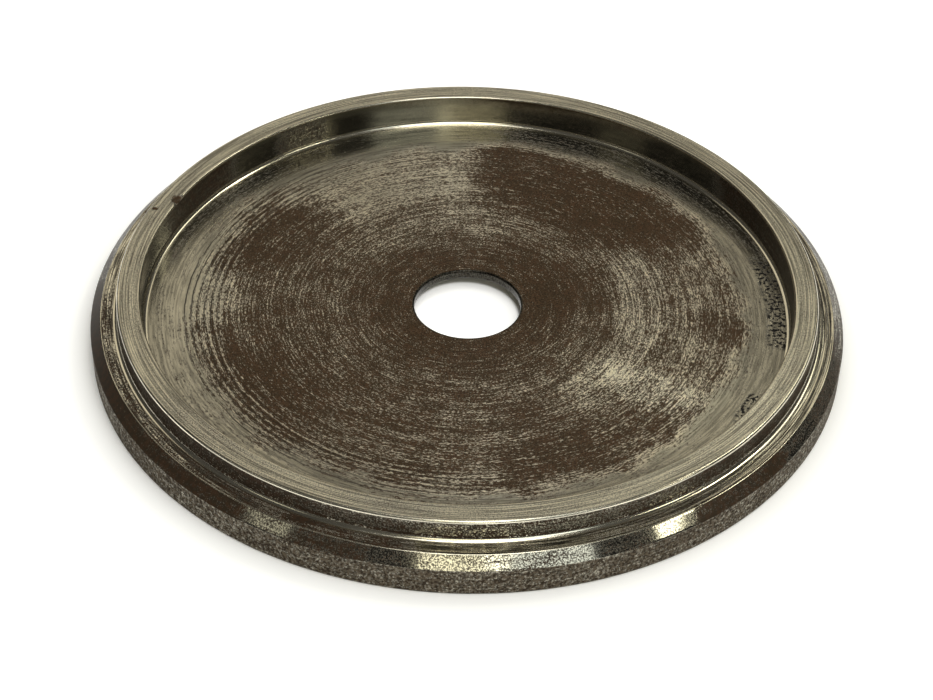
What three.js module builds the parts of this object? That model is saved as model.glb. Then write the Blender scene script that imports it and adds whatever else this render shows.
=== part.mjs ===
// Turned steel wheel disc: a stepped round flange with a raised rim, a recessed floor inside the rim,
// a plain through bore and a relieved underside. It is one piece of metal, turned all over.
// Millimetres, +Z up. The origin is the centre of the plane that the disc rests on.
import * as THREE from 'three';

// Outer edge and flange
const DISC_RADIUS = 88.9;
const FLANGE_HEIGHT = 9.3;
const FLANGE_BEVEL = 2.5;
const FOOT_CHAMFER = 0.5;

// Raised rim
const RIM_HEIGHT = 14.6;
const RIM_OUTER_RADIUS = 82.3;
const RIM_INNER_RADIUS = 76.8;
const RIM_OUTER_ROUND = 0.6;
const RIM_INNER_ROUND = 0.5;
const SHOULDER_FILLET = 1.2;

// Floor inside the rim, and the bore through it
const FLOOR_HEIGHT = 6.35;
const FLOOR_FILLET = 1;
const BORE_RADIUS = 12.7;
const BORE_CHAMFER = 0.5;

// Underside
const WEB_THICKNESS = 2.4;
const RELIEF_RADIUS = 72;
const RELIEF_FILLET = 2;

// Fineness of the faceted solid
const SEGMENTS_AROUND = 96;
const HALF_ARC_STEPS = 2;

// Half of the cross-section, as radius and height. It runs out along the resting face, up the outer edge,
// over the rim, in across the floor, down the bore and back under the web.
function crossSection() {
  const webUnderside = FLOOR_HEIGHT - WEB_THICKNESS;
  const quarter = Math.PI / 2;
  const outline = new THREE.Path();

  outline.moveTo(RELIEF_RADIUS + FOOT_CHAMFER, 0);
  outline.lineTo(DISC_RADIUS - FOOT_CHAMFER, 0);
  outline.lineTo(DISC_RADIUS, FOOT_CHAMFER);
  outline.lineTo(DISC_RADIUS, FLANGE_HEIGHT - FLANGE_BEVEL);
  outline.lineTo(DISC_RADIUS - FLANGE_BEVEL, FLANGE_HEIGHT);

  const shoulderRadius = RIM_OUTER_RADIUS + SHOULDER_FILLET;
  outline.absarc(shoulderRadius, FLANGE_HEIGHT + SHOULDER_FILLET, SHOULDER_FILLET, 3 * quarter, 2 * quarter, true);
  outline.absarc(RIM_OUTER_RADIUS - RIM_OUTER_ROUND, RIM_HEIGHT - RIM_OUTER_ROUND, RIM_OUTER_ROUND, 0, quarter);
  outline.absarc(
    RIM_INNER_RADIUS + RIM_INNER_ROUND, RIM_HEIGHT - RIM_INNER_ROUND, RIM_INNER_ROUND, quarter, 2 * quarter,
  );
  outline.absarc(RIM_INNER_RADIUS - FLOOR_FILLET, FLOOR_HEIGHT + FLOOR_FILLET, FLOOR_FILLET, 0, -quarter, true);

  outline.lineTo(BORE_RADIUS + BORE_CHAMFER, FLOOR_HEIGHT);
  outline.lineTo(BORE_RADIUS, FLOOR_HEIGHT - BORE_CHAMFER);
  outline.lineTo(BORE_RADIUS, webUnderside + BORE_CHAMFER);
  outline.lineTo(BORE_RADIUS + BORE_CHAMFER, webUnderside);

  outline.absarc(RELIEF_RADIUS - RELIEF_FILLET, webUnderside - RELIEF_FILLET, RELIEF_FILLET, quarter, 0, true);
  outline.lineTo(RELIEF_RADIUS, FOOT_CHAMFER);
  outline.closePath();
  return outline.getPoints(HALF_ARC_STEPS);
}

// The lathe turns its outline about +Y, so the solid is stood up to bring its axis to +Z.
function turnedDisc() {
  const geometry = new THREE.LatheGeometry(crossSection(), SEGMENTS_AROUND);
  geometry.rotateX(Math.PI / 2);
  return geometry;
}

const rustedSteel = new THREE.MeshStandardMaterial({ color: 0x5b5044, roughness: 0.45, metalness: 0.9 });

const wheelDisc = new THREE.Mesh(turnedDisc(), rustedSteel);
wheelDisc.name = 'wheel_disc';

const part = new THREE.Group();
part.add(wheelDisc);

export default part;
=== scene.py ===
# Looks for the turned steel wheel disc: one finely turned mesh that stands for the CAD solid, with
# procedural bare and rusted steel, on a plain white table under soft studio light. Metres, +Z up.
import math
import random
from collections import namedtuple

import bpy
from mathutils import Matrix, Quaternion, Vector


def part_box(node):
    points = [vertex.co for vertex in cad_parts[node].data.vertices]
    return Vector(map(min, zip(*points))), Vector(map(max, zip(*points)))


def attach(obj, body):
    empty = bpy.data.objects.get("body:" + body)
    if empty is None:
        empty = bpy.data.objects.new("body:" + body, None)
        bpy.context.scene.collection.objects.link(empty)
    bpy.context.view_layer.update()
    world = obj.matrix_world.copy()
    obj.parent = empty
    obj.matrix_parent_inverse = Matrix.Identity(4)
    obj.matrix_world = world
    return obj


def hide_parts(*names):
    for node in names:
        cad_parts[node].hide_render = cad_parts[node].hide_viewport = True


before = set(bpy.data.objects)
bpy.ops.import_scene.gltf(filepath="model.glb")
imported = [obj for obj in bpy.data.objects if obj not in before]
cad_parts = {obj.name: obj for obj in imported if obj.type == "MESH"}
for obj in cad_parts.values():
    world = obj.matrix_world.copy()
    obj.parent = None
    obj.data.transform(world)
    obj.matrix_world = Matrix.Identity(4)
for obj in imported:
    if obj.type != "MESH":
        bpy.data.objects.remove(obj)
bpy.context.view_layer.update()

MM = 0.001
SEED = 7

# The disc's section. The outer radius and the height come from the frame, the rest repeats the CAD's sizes.
# The CAD's chamfers at the foot, the relief's mouth and the bore are rounds of the same size here, and the
# bevel's two corners, sharp in the CAD, are a little rounded.
disc_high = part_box("wheel_disc")[1]
DISC_RADIUS = disc_high.x
FOOT_ROUND = 0.5 * MM
FLANGE_HEIGHT = 9.3 * MM
BEVEL = 2.5 * MM
BEVEL_FOOT_ROUND = 0.12 * MM
BEVEL_TOP_ROUND = 0.35 * MM
RIM_HEIGHT = disc_high.z
RIM_OUTER_RADIUS = 82.3 * MM
RIM_INNER_RADIUS = 76.8 * MM
RIM_OUTER_ROUND = 0.6 * MM
RIM_INNER_ROUND = 0.5 * MM
SHOULDER_FILLET = 1.2 * MM
FLOOR_HEIGHT = 6.35 * MM
FLOOR_FILLET = 1.0 * MM
BORE_RADIUS = 12.7 * MM
BORE_ROUND = 0.5 * MM
WEB_UNDERSIDE = 3.95 * MM
RELIEF_RADIUS = 72 * MM
RELIEF_FILLET = 2.0 * MM
RELIEF_MOUTH_ROUND = 0.5 * MM

# How finely the mesh is divided round the axis
AROUND = 720


# ---------------------------------------------------------------- shape

# A corner of the section: where it is, its round and the steps in it, the finish of the round, and the
# finish and the ring spacing of the straight run from it to the next corner
Corner = namedtuple("Corner", "radius height round steps round_finish run_finish spacing")

CORNERS = [
    Corner(RELIEF_RADIUS, 0, RELIEF_MOUTH_ROUND, 3, "underside", "underside", 1.5 * MM),
    Corner(DISC_RADIUS, 0, FOOT_ROUND, 4, "edge", "edge", 0.5 * MM),
    Corner(DISC_RADIUS, FLANGE_HEIGHT - BEVEL, BEVEL_FOOT_ROUND, 3, "bevel", "bevel", 0.4 * MM),
    Corner(DISC_RADIUS - BEVEL, FLANGE_HEIGHT, BEVEL_TOP_ROUND, 4, "rim_round", "land", 0.28 * MM),
    Corner(RIM_OUTER_RADIUS, FLANGE_HEIGHT, SHOULDER_FILLET, 12, "fillet", "rim_side", 0.35 * MM),
    Corner(RIM_OUTER_RADIUS, RIM_HEIGHT, RIM_OUTER_ROUND, 8, "rim_round", "rim_top", 0.30 * MM),
    Corner(RIM_INNER_RADIUS, RIM_HEIGHT, RIM_INNER_ROUND, 7, "rim_round", "wall", 0.35 * MM),
    Corner(RIM_INNER_RADIUS, FLOOR_HEIGHT, FLOOR_FILLET, 12, "fillet", "floor", 0.4 * MM),
    Corner(BORE_RADIUS, FLOOR_HEIGHT, BORE_ROUND, 5, "bore", "bore", 0.3 * MM),
    Corner(BORE_RADIUS, WEB_UNDERSIDE, BORE_ROUND, 5, "bore", "underside", 1.5 * MM),
    Corner(RELIEF_RADIUS, WEB_UNDERSIDE, RELIEF_FILLET, 8, "underside", "underside", 0.5 * MM),
]

# How deep the tool marks are cut into each finish: deepest mark, how much one ring is like the last
TOOL_MARKS = {
    "rim_top": (0.070 * MM, 0.25),
    "land": (0.140 * MM, 0.15),
    "floor": (0.012 * MM, 0.20),
    "edge": (0.010 * MM, 0.30),
    "rim_side": (0.008 * MM, 0.30),
    "underside": (0.010 * MM, 0.30),
}

# Small dents struck into the rim: angle in degrees, radius, height, reach, depth
DENTS = [
    (158.5, RIM_INNER_RADIUS + 0.2 * MM, RIM_HEIGHT, 2.2 * MM, 0.55 * MM),
    (162.2, 80.7 * MM, RIM_HEIGHT, 1.1 * MM, 0.30 * MM),
]
# Which way a dent pushes the metal, in shares of its depth
DENT_OUTWARD = 0.4
DENT_DOWN = 0.9


def round_place(angle, radius, height):
    """The point at an angle in degrees from +X, counter-clockwise, round the axis."""
    turn = math.radians(angle)
    return Vector((radius * math.cos(turn), radius * math.sin(turn), height))


def arc_points(corner, before, after, radius, steps):
    """Points of the round that replaces a sharp corner between two straight runs."""
    to_before = (before - corner).normalized()
    to_after = (after - corner).normalized()
    half_angle = to_before.angle(to_after) / 2
    reach = radius / math.tan(half_angle)
    centre = corner + (to_before + to_after).normalized() * (radius / math.sin(half_angle))
    start = corner + to_before * reach - centre
    end = corner + to_after * reach - centre
    turn = math.atan2(start.x * end.y - start.y * end.x, start.dot(end))
    points = []
    for step in range(steps + 1):
        cos = math.cos(turn * step / steps)
        sin = math.sin(turn * step / steps)
        points.append(centre + Vector((start.x * cos - start.y * sin, start.x * sin + start.y * cos)))
    return points


def section():
    """The closed half section as (point, finish of the strip that follows it), in (radius, height)."""
    places = [Vector((corner.radius, corner.height)) for corner in CORNERS]
    rounds = []
    for i, corner in enumerate(CORNERS):
        before = places[i - 1]
        after = places[(i + 1) % len(places)]
        rounds.append(arc_points(places[i], before, after, corner.round, corner.steps))
    outline = []
    for i, corner in enumerate(CORNERS):
        outline += [(point, corner.round_finish) for point in rounds[i][:-1]]
        start = rounds[i][-1]
        end = rounds[(i + 1) % len(rounds)][0]
        pieces = max(1, round((end - start).length / corner.spacing))
        outline += [(start.lerp(end, k / pieces), corner.run_finish) for k in range(pieces)]
    return outline


def cut_tool_marks(outline):
    """Sinks each ring of a marked finish by a small random depth, square to the surface."""
    dice = random.Random(SEED)
    cut = []
    depth = 0.0
    for i, (point, finish) in enumerate(outline):
        before, finish_before = outline[i - 1]
        after, finish_after = outline[(i + 1) % len(outline)]
        deepest, likeness = TOOL_MARKS.get(finish, (0.0, 0.0))
        depth = depth * likeness + dice.random() * (1 - likeness)
        along = after - before
        inward = Vector((-along.y, along.x)).normalized()
        within_finish = finish_before == finish and finish_after == finish
        cut.append(point + inward * (deepest * depth if within_finish else 0.0))
    return cut


def strike_dents(vertices):
    """Pushes the vertices round each dent down and away from the axis."""
    for angle, radius, height, reach, depth in DENTS:
        centre = round_place(angle, radius, height)
        push = round_place(angle, DENT_OUTWARD, -DENT_DOWN)
        for i, vertex in enumerate(vertices):
            away = (Vector(vertex) - centre).length / reach
            if away < 1:
                vertices[i] = Vector(vertex) + push * depth * (1 - away * away)


def turned_mesh(name, finishes):
    """The section turned round the axis, with each strip's finish as its material index."""
    outline = section()
    rings = cut_tool_marks(outline)
    vertices = []
    for ring in rings:
        for k in range(AROUND):
            angle = 2 * math.pi * k / AROUND
            vertices.append((ring.x * math.cos(angle), ring.x * math.sin(angle), ring.y))
    strike_dents(vertices)
    faces = []
    slots = []
    for i, (_, finish) in enumerate(outline):
        here = i * AROUND
        beyond = (i + 1) % len(rings) * AROUND
        for k in range(AROUND):
            following = (k + 1) % AROUND
            faces.append((here + k, here + following, beyond + following, beyond + k))
            slots.append(finishes.index(finish))
    mesh = bpy.data.meshes.new(name)
    mesh.from_pydata(vertices, [], faces)
    mesh.polygons.foreach_set("material_index", slots)
    mesh.polygons.foreach_set("use_smooth", [True] * len(faces))
    mesh.update()
    return mesh


# ---------------------------------------------------------------- shader nodes

# The Mix node has sockets for each type of data. These are the numbers of the ones for colours.
MIX_SHARE = 0
MIX_A = 6
MIX_B = 7
MIX_RESULT = 2


class Nodes:
    """Short ways to add and wire the shader nodes of one material."""

    def __init__(self, name):
        self.material = bpy.data.materials.new(name)
        self.material.use_nodes = True
        self.tree = self.material.node_tree
        self.shader = self.tree.nodes["Principled BSDF"]

    def plug(self, value, socket):
        """Links a node's output to a socket, or sets the socket to a plain value."""
        if isinstance(value, bpy.types.NodeSocket):
            self.tree.links.new(value, socket)
        else:
            socket.default_value = value

    def add(self, kind, inputs=(), **settings):
        node = self.tree.nodes.new(kind)
        for key, value in settings.items():
            setattr(node, key, value)
        for key, value in dict(inputs).items():
            self.plug(value, node.inputs[key])
        return node

    def math(self, operation, a, b=0.0, c=0.0):
        return self.add("ShaderNodeMath", {0: a, 1: b, 2: c}, operation=operation).outputs[0]

    def vector(self, operation, a, b=(0, 0, 0), scale=1.0):
        node = self.add("ShaderNodeVectorMath", {0: a, 1: b}, operation=operation)
        if operation == "SCALE":
            self.plug(scale, node.inputs["Scale"])
        gives_number = operation in ("LENGTH", "DISTANCE", "DOT_PRODUCT")
        return node.outputs["Value" if gives_number else "Vector"]

    def noise(self, vector, scale, detail=2.0, roughness=0.5):
        settings = {"Vector": vector, "Scale": scale, "Detail": detail, "Roughness": roughness}
        return self.add("ShaderNodeTexNoise", settings).outputs["Fac"]

    def remap(self, value, low, high, to_low=0.0, to_high=1.0):
        settings = {"Value": value, "From Min": low, "From Max": high, "To Min": to_low, "To Max": to_high}
        return self.add("ShaderNodeMapRange", settings, interpolation_type="SMOOTHSTEP").outputs["Result"]

    def swing(self, value, size):
        """Noise turned into a push of up to about plus or minus half of size."""
        return self.math("MULTIPLY_ADD", value, size, -size / 2)

    def total(self, *values):
        result = values[0]
        for value in values[1:]:
            result = self.math("ADD", result, value)
        return result

    def product(self, *values):
        result = values[0]
        for value in values[1:]:
            result = self.math("MULTIPLY", result, value)
        return result

    def mix_colour(self, share, a, b):
        node = self.add("ShaderNodeMix", data_type="RGBA")
        self.plug(share, node.inputs[MIX_SHARE])
        self.plug(a, node.inputs[MIX_A])
        self.plug(b, node.inputs[MIX_B])
        return node.outputs[MIX_RESULT]


# How much faster the rings follow one another up a wall than out along the floor
RINGS_UP_WALLS = 1.7
# The warp that keeps the edges of film and rust from being true circles and straight lines
WARP_SCALE = 90.0
WARP_SIZE = 12 * MM
# How far the inner and the outer side of a band fade, to each side
BAND_FADE = 5 * MM
# The shares of a spot's and of a mark's reach that are full before the fade begins
SPOT_CORE = 0.4
MARK_CORE = 0.4


class Lathe(Nodes):
    """Nodes with the coordinates of a turned surface.

    across counts over the tool marks, and round is the direction from the axis. The warped ones are for
    the edges of film and rust.
    """

    def __init__(self, name):
        super().__init__(name)
        self.place = self.add("ShaderNodeTexCoord").outputs["Object"]
        self.radius, self.round = self.polar(self.place)
        self.height = self.add("ShaderNodeSeparateXYZ", {0: self.place}).outputs["Z"]
        self.across = self.math("MULTIPLY_ADD", self.height, RINGS_UP_WALLS, self.radius)
        wander = self.add("ShaderNodeTexNoise", {"Vector": self.place, "Scale": WARP_SCALE, "Detail": 4.0})
        shift = self.vector("SUBTRACT", wander.outputs["Color"], (0.5, 0.5, 0.5))
        self.warped = self.vector("ADD", self.place, self.vector("SCALE", shift, scale=WARP_SIZE))
        self.warped_radius, self.warped_round = self.polar(self.warped)

    def polar(self, place):
        flat = self.vector("MULTIPLY", place, (1, 1, 0))
        return self.vector("LENGTH", flat), self.vector("NORMALIZE", flat)

    def rings(self, spacing, turns, detail=2.0):
        """Noise drawn out round the axis: rings about spacing apart, in shorter streaks as turns goes up."""
        step = self.math("DIVIDE", self.across, spacing)
        lift = self.add("ShaderNodeCombineXYZ", {"Z": step}).outputs[0]
        spin = self.vector("SCALE", self.round, scale=turns)
        return self.noise(self.vector("ADD", spin, lift), 1.0, detail, 0.6)

    def specks(self, size, detail=2.0, roughness=0.5):
        return self.noise(self.place, 1.0 / size, detail, roughness)

    def sector(self, angle, half_width, soft):
        """1 within half_width of an angle round the disc, fading to 0 over the soft degrees beyond."""
        facing = self.vector("DOT_PRODUCT", self.warped_round, round_place(angle, 1, 0))
        outer = math.cos(math.radians(min(half_width + soft, 180)))
        inner = math.cos(math.radians(half_width))
        return self.remap(facing, outer, inner)

    def spot(self, angle, radius, reach):
        """1 round a point of the floor, fading to 0 at reach."""
        away = self.vector("DISTANCE", self.warped, round_place(angle, radius, FLOOR_HEIGHT))
        return self.remap(away, reach, SPOT_CORE * reach)

    def mark(self, angle, radius, height, reach):
        """1 at a small mark with a clear edge, fading to 0 at reach."""
        away = self.vector("DISTANCE", self.place, round_place(angle, radius, height))
        return self.remap(away, reach, MARK_CORE * reach)

    def band(self, angle, half_width, soft, inner, outer):
        """1 in a sector of the floor between two radii, fading out at all four sides."""
        from_inside = self.remap(self.warped_radius, inner - BAND_FADE, inner + BAND_FADE)
        from_outside = self.remap(self.warped_radius, outer + BAND_FADE, outer - BAND_FADE)
        return self.product(self.sector(angle, half_width, soft), from_inside, from_outside)


# ---------------------------------------------------------------- colours

BARE_STEEL = (0.52, 0.49, 0.405, 1)
DULL_STEEL = (0.27, 0.255, 0.212, 1)
BRIGHT_STEEL = (0.95, 0.89, 0.73, 1)
FLECK_STEEL = (0.80, 0.73, 0.58, 1)
BROWN_RUST = (0.066, 0.042, 0.024, 1)
RED_RUST = (0.084, 0.049, 0.028, 1)
DARK_RUST = (0.030, 0.021, 0.013, 1)
OLIVE_RUST = (0.105, 0.082, 0.056, 1)
PIT_BLACK = (0.012, 0.011, 0.010, 1)


def shade(colour, factor):
    return tuple(c * factor for c in colour[:3]) + (1,)


DEEP_DULL_STEEL = shade(DULL_STEEL, 0.5)


def rust_colour(n):
    brown = n.mix_colour(n.remap(n.specks(2.4 * MM, 3.0), 0.40, 0.62), BROWN_RUST, RED_RUST)
    return n.mix_colour(n.remap(n.specks(0.4 * MM), 0.36, 0.60), DARK_RUST, brown)


def dark_rust_colour(n):
    return n.mix_colour(n.remap(n.specks(1.2 * MM, 3.0), 0.42, 0.60), DARK_RUST, shade(RED_RUST, 0.5))


def olive_rust_colour(n):
    return n.mix_colour(n.remap(n.specks(0.6 * MM, 3.0), 0.42, 0.60), DARK_RUST, OLIVE_RUST)


# ---------------------------------------------------------------- finishes

# Film runs from 0 or less, bare steel, to about 1, all rust. The pushes below add to it or take from it.
# Angles are in degrees from +X, counter-clockwise.

# The floor's film inside the clean ring by the wall, and in that ring
FLOOR_FILM = 0.87
CLEAN_FILM = 0.10
FILM_THINS_FROM = 62 * MM
FILM_THIN_AT = 70.5 * MM
# The shares of film and grain at which the floor is all bare and all rust
FLOOR_BARE_AT = 0.12
FLOOR_RUST_AT = 0.84
# The push round the bore
BORE_PUSH = 0.17
BORE_PUSH_FULL_AT = 19 * MM
BORE_PUSH_ENDS_AT = 31 * MM

# Where the floor's film is thicker or thinner: angle, radius, reach, push
FLOOR_SPOTS = [
    (12, 25 * MM, 17 * MM, 0.14),
    (152, 57 * MM, 20 * MM, 0.16),
    (180, 62 * MM, 13 * MM, -0.30),
    (216, 60 * MM, 23 * MM, 0.16),
    (262, 63 * MM, 15 * MM, 0.06),
    (290, 58 * MM, 17 * MM, 0.16),
    (353, 60 * MM, 9 * MM, 0.20),
]
# The same in bands: angle, half width, soft edge beyond it, inner and outer radius, push. The thicker film
# at 57 degrees and the thinner film at 111, 325 and 350 degrees follow the lamps' streaks of sheen on the
# turned floor, so they are partly rust and partly painted shade and painted highlight
FLOOR_RUST_AND_PAINTED_LIGHT_BANDS = [
    (57, 26, 10, 38 * MM, 68 * MM, 0.22),
    (60, 24, 20, 27 * MM, 39 * MM, -0.10),
    (111, 16, 12, 44 * MM, 76 * MM, -0.34),
    (113, 24, 18, 26 * MM, 50 * MM, -0.08),
    (325, 3, 6, 36 * MM, 74 * MM, -0.16),
    (350, 36, 16, 36 * MM, 48 * MM, -0.24),
    (356, 26, 12, 50 * MM, 69 * MM, -0.18),
]
# Painted highlights, as bands: the floor's crests are painted towards bright steel where the lamps' streaks
# of sheen cross the tool marks. The last number is how far they go to bright steel
PAINTED_GLINTS = [
    (325, 2, 6, 38 * MM, 63 * MM, 0.9),
    (350, 34, 14, 37 * MM, 47 * MM, 0.5),
    (180, 10, 10, 57 * MM, 68 * MM, 0.5),
]

# The coarse grooves: their pitch, how far they wander, the sector and the radii over which they come and go
GROOVE_PITCH = 1.55 * MM
GROOVE_WANDER = 0.8 * MM
GROOVE_SECTOR = (195, 62, 35)
GROOVES_BEGIN = (56 * MM, 61 * MM)
GROOVES_END = (69 * MM, 67.5 * MM)
# How much the crests are worn, and how rusty and how dark the bottoms are
CREST_WEAR = 0.36
BOTTOM_RUST = 0.95
BOTTOM_DARKNESS = 0.6

# The black pits by the wall: two sectors, and the radii over which they begin
PIT_SECTOR = (1, 9, 7)
SMALL_PIT_SECTOR = (331, 3, 3)
PITS_BEGIN = (70 * MM, 72.5 * MM)

# Film in sectors of the outer surfaces: angle, half width, soft edge beyond it, push
# On the bevel the thinner film at 301 degrees is a painted highlight, bare steel laid under the right
# strip's reflection; the other sectors are rust
BEVEL_RUST_AND_PAINTED_HIGHLIGHT = [
    (2, 22, 10, 0.22),
    (60, 40, 20, 0.30),
    (155, 40, 20, 0.45),
    (208, 28, 4, 0.55),
    (251.5, 4.5, 2, 0.40),
    (301, 2.5, 1, -0.25),
    (313, 8, 3, 0.50),
]
# On the land the thinner film at 276 and 335 degrees is a painted highlight, bare steel laid where the
# windows' and the right lamp's reflections fall; the other sectors are rust
LAND_RUST_AND_PAINTED_HIGHLIGHT = [
    (214, 24, 12, 0.30),
    (253, 7, 4, 0.40),
    (276, 11, 2, -0.30),
    (335, 14, 12, -0.20),
]
RIM_SIDE_FILM = [
    (215, 25, 15, 0.25),
    (323, 15, 8, 0.20),
]
RIM_FILM = [
    (160, 4, 5, 0.10),
    (225, 6, 10, 0.12),
    (330, 8, 8, 0.10),
]
# Painted shade on the inner wall: dark rust laid in the sectors where the steel should only reflect the dim
# room
WALL_PAINTED_SHADE = [
    (10, 22, 8, 1.0),
    (125, 4, 3, 0.65),
    (153, 8, 8, 1.0),
]

# Rust in the rim's dents: angle, radius, height, reach
RIM_MARKS = [
    (158.5, 77.4 * MM, RIM_HEIGHT, 2.1 * MM),
    (162.4, 80.8 * MM, RIM_HEIGHT, 1.0 * MM),
]
MARK_PUSH = 0.8

# Painted shade, laid as dark rust over the upper part of the shoulder's fillet: where it begins, over what
# height it sets in, its push
PAINTED_SHADE_HEIGHT = FLANGE_HEIGHT + 0.45 * MM
PAINTED_SHADE_FADE = 0.25 * MM
PAINTED_SHADE_PUSH = 1.2

# The film at which a turned surface is half bare and half rust
EVEN_FILM = 0.475
# How far rings and grain swing the steel between its low and its high colour
STEEL_SWING = 5.0

# The gloss of the rust, and the quarter turn that lays the steel's highlights across the tool marks
RUST_GLOSS = 0.10
HIGHLIGHT_TURN = 0.25


def finish_shader(n, rust, bare, brown, roughness, rust_roughness, anisotropy, bump=None, bump_depth=0.0):
    """Mixes bare steel and rust by the rust share, and lays the fine tool marks over both."""
    n.plug(n.mix_colour(rust, bare, brown), n.shader.inputs["Base Color"])
    n.plug(n.math("SUBTRACT", 1.0, rust), n.shader.inputs["Metallic"])
    n.plug(n.math("MULTIPLY_ADD", rust, rust_roughness, roughness), n.shader.inputs["Roughness"])
    n.plug(RUST_GLOSS, n.shader.inputs["Specular IOR Level"])
    n.plug(anisotropy, n.shader.inputs["Anisotropic"])
    n.plug(HIGHLIGHT_TURN, n.shader.inputs["Anisotropic Rotation"])
    tangent = n.add("ShaderNodeTangent", direction_type="RADIAL", axis="Z").outputs[0]
    n.plug(tangent, n.shader.inputs["Tangent"])
    if bump is not None:
        relief = n.add("ShaderNodeBump", {"Height": bump, "Strength": 1.0, "Distance": bump_depth})
        n.plug(relief.outputs[0], n.shader.inputs["Normal"])
    return n.material


def floor_film(n):
    """How thickly the floor is covered, before the fine grain: rust, and in some bands painted shade and
    painted highlight.
    """
    film = n.remap(n.warped_radius, FILM_THINS_FROM, FILM_THIN_AT, FLOOR_FILM, CLEAN_FILM)
    for *place, push in FLOOR_SPOTS:
        film = n.total(film, n.product(n.spot(*place), push))
    for *place, push in FLOOR_RUST_AND_PAINTED_LIGHT_BANDS:
        film = n.total(film, n.product(n.band(*place), push))
    return n.total(film, n.remap(n.warped_radius, BORE_PUSH_ENDS_AT, BORE_PUSH_FULL_AT, 0.0, BORE_PUSH))


def floor_grooves(n):
    """The coarser grooves where the tool ran out towards the wall: their crests and their dark bottoms."""
    wander = n.swing(n.specks(5 * MM), GROOVE_WANDER)
    wave = n.math("SINE", n.product(n.total(n.radius, wander), 2 * math.pi / GROOVE_PITCH))
    grooved = n.product(n.remap(n.radius, *GROOVES_BEGIN), n.remap(n.radius, *GROOVES_END))
    grooved = n.product(grooved, n.sector(*GROOVE_SECTOR))
    crests = n.product(n.remap(wave, 0.0, -0.9), grooved)
    bottoms = n.product(n.remap(wave, 0.55, 0.95), grooved, n.remap(n.rings(0.8 * MM, 7.0), 0.30, 0.50))
    return crests, bottoms


def floor_pits(n):
    """The black pits in the clean ring."""
    pitted = n.math("MAXIMUM", n.sector(*PIT_SECTOR), n.product(n.sector(*SMALL_PIT_SECTOR), 0.9))
    pitted = n.product(pitted, n.remap(n.radius, *PITS_BEGIN))
    return n.product(n.remap(n.specks(0.9 * MM, 3.0), 0.49, 0.56), n.remap(pitted, 0.2, 0.7))


def floor_finish():
    """The floor: a brown film worn through on the crests of the tool marks, a clean ring by the wall, and
    painted highlights.
    """
    n = Lathe("floor_steel")
    crests, bottoms = floor_grooves(n)
    pits = floor_pits(n)
    film = n.math("SUBTRACT", floor_film(n), n.product(crests, CREST_WEAR))

    cloud = n.swing(n.specks(7 * MM, 4.0, 0.6), 0.55)
    long_streaks = n.swing(n.rings(0.42 * MM, 2.5), 1.2)
    short_streaks = n.swing(n.rings(0.5 * MM, 11.0), 0.8)
    flecks = n.swing(n.rings(0.25 * MM, 64.0, 1.0), 2.0)
    grain = n.swing(n.specks(0.26 * MM, 2.0, 0.6), 1.2)
    share = n.total(film, cloud, long_streaks, short_streaks, flecks, grain)
    covered = n.remap(share, FLOOR_BARE_AT, FLOOR_RUST_AT)
    rust = n.math("MAXIMUM", covered, n.product(bottoms, BOTTOM_RUST))
    rust = n.math("MAXIMUM", rust, pits)

    clean = n.mix_colour(n.remap(n.rings(0.45 * MM, 8.0, 3.0), 0.38, 0.62), DULL_STEEL, BARE_STEEL)
    bare = n.mix_colour(n.remap(film, 0.25, 0.60), clean, FLECK_STEEL)
    # Painted highlight: the bare steel is taken towards bright steel in each glint band
    for *place, amount in PAINTED_GLINTS:
        bare = n.mix_colour(n.product(n.band(*place), amount), bare, BRIGHT_STEEL)
    dark = n.math("MAXIMUM", pits, n.product(bottoms, BOTTOM_DARKNESS))
    brown = n.mix_colour(dark, rust_colour(n), PIT_BLACK)

    bump = n.total(n.rings(0.4 * MM, 12.0), n.product(n.specks(0.4 * MM), 0.6), n.product(pits, -2.0))
    roughness = n.remap(n.radius, 66 * MM, 70 * MM, 0.38, 0.20)
    return finish_shader(n, rust, bare, brown, roughness, rust_roughness=0.35, anisotropy=0.8,
                         bump=bump, bump_depth=0.02 * MM)


def turned_finish(name, film, low, high, roughness, anisotropy, bump_depth=0.0, grain_size=0.4 * MM,
                  contrast=0.35, speckled=0.0, turns=6.0, film_sectors=(), marks=(), painted_shade_above=None,
                  rust=rust_colour, rust_roughness=0.3):
    """A turned surface whose film is even but for grain, rings and the places given.

    Contrast is the span of film over which bare steel turns to rust, so a wide one looks soft. The steel
    runs from the low to the high colour, ring by ring where speckled is 0, and grain by grain at 1. The
    rings' streaks are shorter as turns goes up.
    """
    n = Lathe(name)
    grain = n.swing(n.specks(grain_size, 3.0, 0.6), 2.4)
    cloud = n.swing(n.specks(9 * MM, 3.0), 0.5)
    streaks = n.swing(n.rings(0.42 * MM, 1.5 * turns), 0.9)
    share = n.total(grain, cloud, streaks, film)
    for *place, push in film_sectors:
        share = n.total(share, n.product(n.sector(*place), push))
    for place in marks:
        share = n.total(share, n.product(n.mark(*place), MARK_PUSH))
    # Painted shade: more rust above a given height
    if painted_shade_above is not None:
        share = n.total(share, n.remap(n.height, painted_shade_above, painted_shade_above + PAINTED_SHADE_FADE, 0.0, PAINTED_SHADE_PUSH))
    rust_share = n.remap(share, EVEN_FILM - contrast / 2, EVEN_FILM + contrast / 2)

    patterns = []
    if speckled < 1:
        patterns.append(n.swing(n.rings(0.28 * MM, turns), STEEL_SWING * (1 - speckled)))
    if speckled > 0:
        patterns.append(n.swing(n.specks(0.34 * MM), STEEL_SWING * speckled))
    bare = n.mix_colour(n.remap(n.total(*patterns), -0.5, 0.5), low, high)

    bump = None
    if bump_depth:
        bump = n.total(n.rings(0.5 * MM, 6.0), n.product(n.specks(0.4 * MM), 0.8))
    brown = rust(n)
    return finish_shader(n, rust_share, bare, brown, roughness, rust_roughness, anisotropy, bump, bump_depth)


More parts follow.
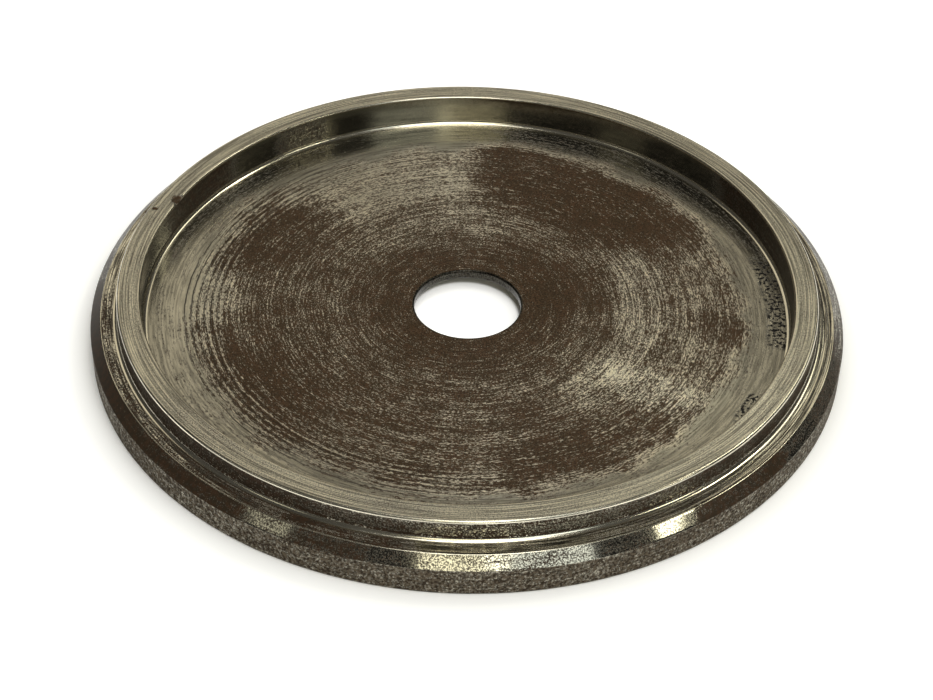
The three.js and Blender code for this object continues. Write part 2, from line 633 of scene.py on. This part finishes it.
def make_finishes():
    return {
        "floor": floor_finish(),
        "rim_top": turned_finish(
            "rim_top_steel", film=0.20, low=shade(BARE_STEEL, 0.55), high=shade(BRIGHT_STEEL, 1.05),
            roughness=0.42, anisotropy=0.4, bump_depth=0.03 * MM, grain_size=0.28 * MM, contrast=0.7,
            speckled=0.3, turns=3.0, film_sectors=RIM_FILM, marks=RIM_MARKS),
        "rim_round": turned_finish(
            "rim_round_steel", film=-0.05, low=BARE_STEEL, high=BRIGHT_STEEL,
            roughness=0.24, anisotropy=0.1, film_sectors=RIM_FILM, marks=RIM_MARKS),
        "land": turned_finish(
            "land_steel", film=0.34, low=DEEP_DULL_STEEL, high=BRIGHT_STEEL,
            roughness=0.16, anisotropy=0.2, grain_size=0.30 * MM, contrast=0.4,
            film_sectors=LAND_RUST_AND_PAINTED_HIGHLIGHT, rust=dark_rust_colour),
        "wall": turned_finish(
            "wall_steel", film=-0.15, low=shade(DULL_STEEL, 0.8), high=DULL_STEEL,
            roughness=0.13, anisotropy=0.2, contrast=0.8, speckled=1.0,
            film_sectors=WALL_PAINTED_SHADE, rust=dark_rust_colour),
        "fillet": turned_finish(
            "fillet_steel", film=-0.4, low=shade(BRIGHT_STEEL, 0.8), high=BRIGHT_STEEL,
            roughness=0.17, anisotropy=0.1, painted_shade_above=PAINTED_SHADE_HEIGHT, rust=dark_rust_colour),
        "rim_side": turned_finish(
            "rim_side_steel", film=0.56, low=DEEP_DULL_STEEL, high=BARE_STEEL,
            roughness=0.20, anisotropy=0.2, bump_depth=0.01 * MM, contrast=0.5, speckled=1.0,
            film_sectors=RIM_SIDE_FILM, rust=dark_rust_colour),
        "bevel": turned_finish(
            "bevel_steel", film=0.32, low=DEEP_DULL_STEEL, high=BARE_STEEL,
            roughness=0.09, anisotropy=0.1, grain_size=0.32 * MM, contrast=0.3, speckled=1.0,
            film_sectors=BEVEL_RUST_AND_PAINTED_HIGHLIGHT, rust=dark_rust_colour, rust_roughness=0.25),
        "edge": turned_finish(
            "edge_steel", film=0.74, low=DEEP_DULL_STEEL, high=shade(BRIGHT_STEEL, 0.6),
            roughness=0.45, anisotropy=0.1, bump_depth=0.04 * MM, grain_size=0.70 * MM, contrast=0.8,
            speckled=1.0, rust=olive_rust_colour),
        "bore": turned_finish(
            "bore_steel", film=0.15, low=PIT_BLACK, high=shade(DULL_STEEL, 0.3),
            roughness=0.3, anisotropy=0.2, bump_depth=0.02 * MM, speckled=1.0, rust=dark_rust_colour),
        "underside": turned_finish(
            "underside_steel", film=0.35, low=DULL_STEEL, high=BARE_STEEL,
            roughness=0.40, anisotropy=0.4, bump_depth=0.02 * MM),
    }


def make_disc():
    finishes = make_finishes()
    disc = bpy.data.objects.new("turned_disc", turned_mesh("turned_disc", list(finishes)))
    for material in finishes.values():
        disc.data.materials.append(material)
    bpy.context.scene.collection.objects.link(disc)
    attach(disc, "root")
    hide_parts("wheel_disc")


# ---------------------------------------------------------------- table

TABLE_HALF = 3.0
TABLE_WHITE = (0.90, 0.895, 0.88, 1)
TABLE_ROUGHNESS = 0.7

# The table glows a little so that it stays white, out to where the glow fades away
GLOW = 0.55
GLOW_WHITE = (1.0, 1.0, 0.99, 1)
GLOW_FADES = (0.30, 0.80)
# How far from the disc's foot the glow is held off, which leaves a painted soft shadow round it
SHADOW_REACH = 11 * MM
# A painted pool of light on the table under the web, where the light from the front would reach through the
# bore: its centre, and the radii over which its edge fades
PAINTED_LIT_PATCH = (-0.7 * MM, 3.2 * MM, 0)
PAINTED_LIT_PATCH_EDGE = (13.5 * MM, 12.5 * MM)


def make_table():
    mesh = bpy.data.meshes.new("table")
    corners = [(x * TABLE_HALF, y * TABLE_HALF, 0) for x, y in ((-1, -1), (1, -1), (1, 1), (-1, 1))]
    mesh.from_pydata(corners, [], [(0, 1, 2, 3)])
    table = bpy.data.objects.new("table", mesh)
    bpy.context.scene.collection.objects.link(table)
    n = Nodes("table_white")
    n.plug(TABLE_WHITE, n.shader.inputs["Base Color"])
    n.plug(TABLE_ROUGHNESS, n.shader.inputs["Roughness"])
    place = n.add("ShaderNodeTexCoord").outputs["Object"]
    away = n.vector("LENGTH", place)
    open_sky = n.add("ShaderNodeAmbientOcclusion", {"Distance": SHADOW_REACH}, samples=8).outputs["AO"]
    # Outside the disc the glow fades with the occlusion: a painted soft shadow at the disc's foot
    outside = n.product(open_sky, open_sky, n.remap(away, DISC_RADIUS - 1 * MM, DISC_RADIUS))
    # Under the web the glow is a painted pool of light, with painted shade towards the bore's walls
    painted_patch = n.remap(n.vector("DISTANCE", place, PAINTED_LIT_PATCH), *PAINTED_LIT_PATCH_EDGE)
    inside = n.product(painted_patch, n.remap(open_sky, 0.2, 0.9, 0.85, 1.0))
    n.plug(GLOW_WHITE, n.shader.inputs["Emission Color"])
    glow = n.product(n.math("MAXIMUM", outside, inside), n.remap(away, *GLOW_FADES, GLOW, 0.0))
    n.plug(glow, n.shader.inputs["Emission Strength"])
    mesh.materials.append(n.material)


# ---------------------------------------------------------------- light

WARM_WINDOW = (1.0, 0.97, 0.76)
COOL_WINDOW = (0.94, 1.0, 0.97)
HIGH_WINDOW = (1.0, 0.99, 0.92)
WINDOW = (1.0, 0.975, 0.79)
WALL_GLOW = (1.0, 0.92, 0.73)
ROOM_COLOUR = (1.0, 0.97, 0.9, 1)
ROOM_STRENGTH = 0.05


def softbox(name, azimuth, elevation, distance, width, height, radiance, tint=(1, 1, 1)):
    """A rectangular light that faces the disc. Radiance is how bright its face looks."""
    light = bpy.data.lights.new(name, "AREA")
    light.shape = "RECTANGLE"
    light.size = width
    light.size_y = height
    light.energy = radiance * math.pi * width * height
    light.color = tint
    lamp = bpy.data.objects.new(name, light)
    lift = math.radians(elevation)
    place = round_place(azimuth, math.cos(lift), math.sin(lift))
    lamp.location = place * distance
    lamp.rotation_mode = "QUATERNION"
    lamp.rotation_quaternion = place.to_track_quat("Z", "Y")
    lamp.visible_camera = False
    bpy.context.scene.collection.objects.link(lamp)
    return lamp


def make_lights():
    """Soft lights at the places of the bright things that the steel reflects, in a dim room."""
    # Azimuth and elevation in degrees, distance, width, height, radiance, tint
    softbox("front_warm_window", 270.4, 40, 1.2, 0.42, 0.40, 2.2, WARM_WINDOW)
    softbox("front_cool_window", 292.5, 40, 1.2, 0.50, 0.40, 1.6, COOL_WINDOW)
    softbox("front_high", 284, 72, 1.2, 0.42, 0.70, 3.6, HIGH_WINDOW)
    softbox("front_right_strip", 333.5, 34.5, 1.2, 0.26, 0.11, 7.0, WINDOW)
    softbox("front_left_strip", 211.5, 36, 1.2, 0.30, 0.16, 0.7, WINDOW)
    softbox("right_back", 50, 42, 1.4, 0.40, 0.35, 2.0, WINDOW)
    softbox("right_lamp", 33, 53, 1.2, 0.20, 0.20, 10.0, WINDOW)
    softbox("back_wall", 105, 40, 1.6, 1.40, 0.80, 0.60, WALL_GLOW)
    overhead = softbox("overhead", 300, 70, 1.3, 1.0, 1.0, 1.95)
    overhead.visible_glossy = False
    world = bpy.data.worlds.new("room")
    world.use_nodes = True
    background = world.node_tree.nodes["Background"]
    background.inputs["Color"].default_value = ROOM_COLOUR
    background.inputs["Strength"].default_value = ROOM_STRENGTH
    bpy.context.scene.world = world


# ---------------------------------------------------------------- camera

LENS = 81.03
SENSOR_WIDTH = 36
CAMERA_PLACE = Vector((0, -391.0, 319.6)) * MM
CAMERA_TARGET = Vector((0, -9.7, 0)) * MM
CAMERA_ROLL = math.radians(1.25)


def make_camera():
    camera = bpy.data.cameras.new("photo_view")
    camera.lens = LENS
    camera.sensor_width = SENSOR_WIDTH
    camera.clip_start = 0.01
    holder = bpy.data.objects.new("photo_view", camera)
    holder.location = CAMERA_PLACE
    holder.rotation_mode = "QUATERNION"
    aim = (CAMERA_TARGET - CAMERA_PLACE).to_track_quat("-Z", "Y")
    holder.rotation_quaternion = aim @ Quaternion((0, 0, 1), CAMERA_ROLL)
    bpy.context.scene.collection.objects.link(holder)
    bpy.context.scene.camera = holder


make_camera()
make_disc()
make_table()
make_lights()
bpy.context.scene.view_settings.view_transform = "Standard"
